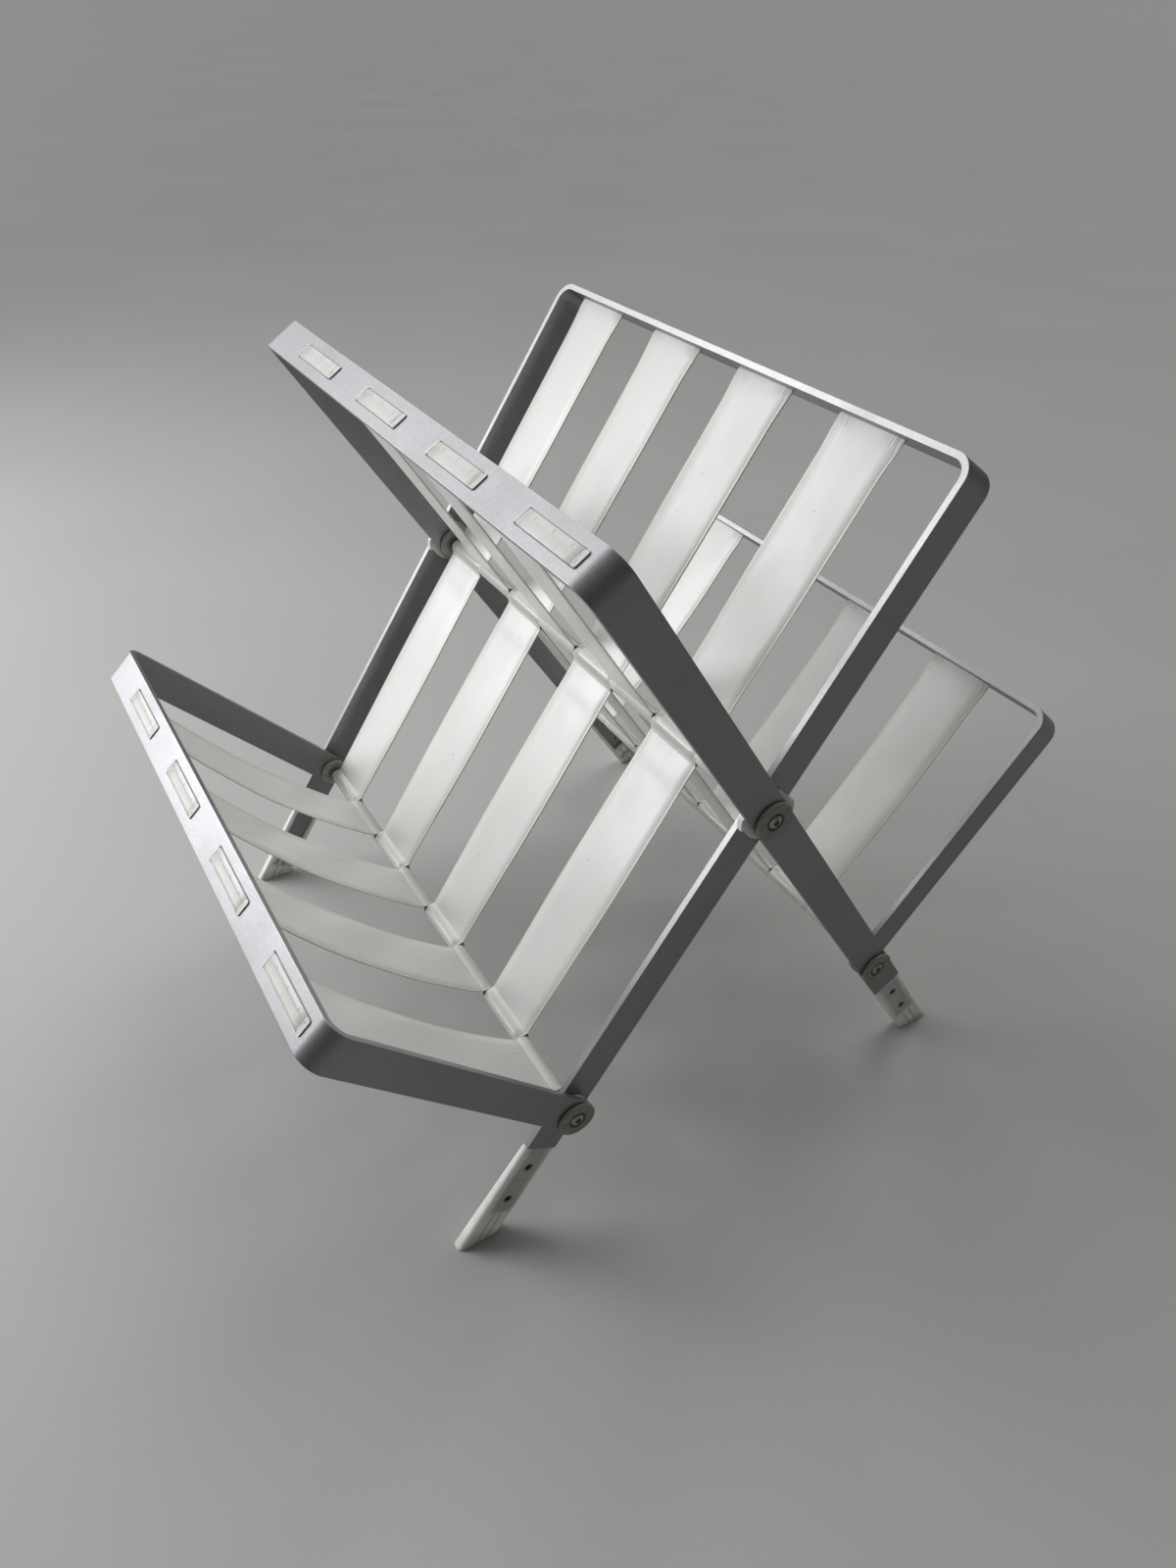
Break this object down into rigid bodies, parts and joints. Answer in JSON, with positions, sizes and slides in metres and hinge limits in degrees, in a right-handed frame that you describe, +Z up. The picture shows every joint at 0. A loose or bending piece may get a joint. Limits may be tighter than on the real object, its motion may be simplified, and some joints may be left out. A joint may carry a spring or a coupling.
{
  "type": "folding magazine rack",
  "caption": "Folding W-shaped magazine rack: crossed aluminium U-frames with two hinged side wings and interleaved white plastic straps forming three pockets.",
  "frame": {"origin": "on the floor, under the centre of the bounding box", "axes": "+Z up, Y along the three pivot rods, X across the pockets, with the left wing at -X and the near side at -Y"},
  "size_m": [0.5658, 0.442, 0.4848],
  "materials": {
    "anodised_aluminium": "satin bead-blasted, clear anodised",
    "strap_white": "translucent white band with a satin sheen and slightly yellowed edges",
    "shoe_white": "translucent white moulded plastic, satin",
    "disc_grey": "matt grey moulded plastic",
    "screw_steel": "turned bright steel",
    "screw_black": "black oxide"
  },
  "bodies": {
    "cross_a": {"cross_frame_a": "anodised_aluminium", "strap_a_1": "strap_white", "strap_a_2": "strap_white", "strap_a_3": "strap_white", "strap_a_4": "strap_white", "foot_a_near": "shoe_white", "foot_a_near_screw_1": "screw_black", "foot_a_near_screw_2": "screw_black", "foot_a_far": "shoe_white", "foot_a_far_screw_1": "screw_black", "foot_a_far_screw_2": "screw_black", "center_rod": "anodised_aluminium", "center_disc_near": "disc_grey", "center_disc_far": "disc_grey", "center_screw_near": "screw_steel", "center_screw_far": "screw_steel", "center_washer_near": "disc_grey", "center_washer_far": "disc_grey", "stop_spacer_near": "shoe_white", "stop_spacer_far": "shoe_white", "right_rod": "anodised_aluminium", "right_disc_near": "disc_grey", "right_disc_far": "disc_grey", "right_screw_near": "screw_steel", "right_screw_far": "screw_steel", "right_washer_near": "disc_grey", "right_washer_far": "disc_grey", "right_spacer_near": "shoe_white", "right_spacer_far": "shoe_white"},
    "cross_b": {"cross_frame_b": "anodised_aluminium", "strap_b_1": "strap_white", "strap_b_2": "strap_white", "strap_b_3": "strap_white", "strap_b_4": "strap_white", "foot_b_near": "shoe_white", "foot_b_near_screw_1": "screw_black", "foot_b_near_screw_2": "screw_black", "foot_b_far": "shoe_white", "foot_b_far_screw_1": "screw_black", "foot_b_far_screw_2": "screw_black", "left_rod": "anodised_aluminium", "left_disc_near": "disc_grey", "left_disc_far": "disc_grey", "left_screw_near": "screw_steel", "left_screw_far": "screw_steel", "left_washer_near": "disc_grey", "left_washer_far": "disc_grey", "left_spacer_near": "shoe_white", "left_spacer_far": "shoe_white"},
    "left_wing": {"wing_frame_left": "anodised_aluminium", "strap_left_1": "strap_white", "strap_left_2": "strap_white", "strap_left_3": "strap_white", "strap_left_4": "strap_white"},
    "right_wing": {"wing_frame_right": "anodised_aluminium", "strap_right_1": "strap_white", "strap_right_2": "strap_white", "strap_right_3": "strap_white", "strap_right_4": "strap_white"}
  },
  "joints": [
    {"name": "main_fold", "type": "hinge", "parent": "cross_a", "child": "cross_b", "pos_m": [0.00528, 0, 0.2936], "axis": [0, -1, 0], "range_deg": [0, 60]},
    {"name": "left_wing_fold", "type": "hinge", "parent": "cross_b", "child": "left_wing", "pos_m": [-0.12345, 0, 0.10131], "axis": [0, 1, 0], "range_deg": [0, 67.5]},
    {"name": "right_wing_fold", "type": "hinge", "parent": "cross_a", "child": "right_wing", "pos_m": [0.13401, 0, 0.10131], "axis": [0, -1, 0], "range_deg": [-3.9, 63.6]}
  ]
}
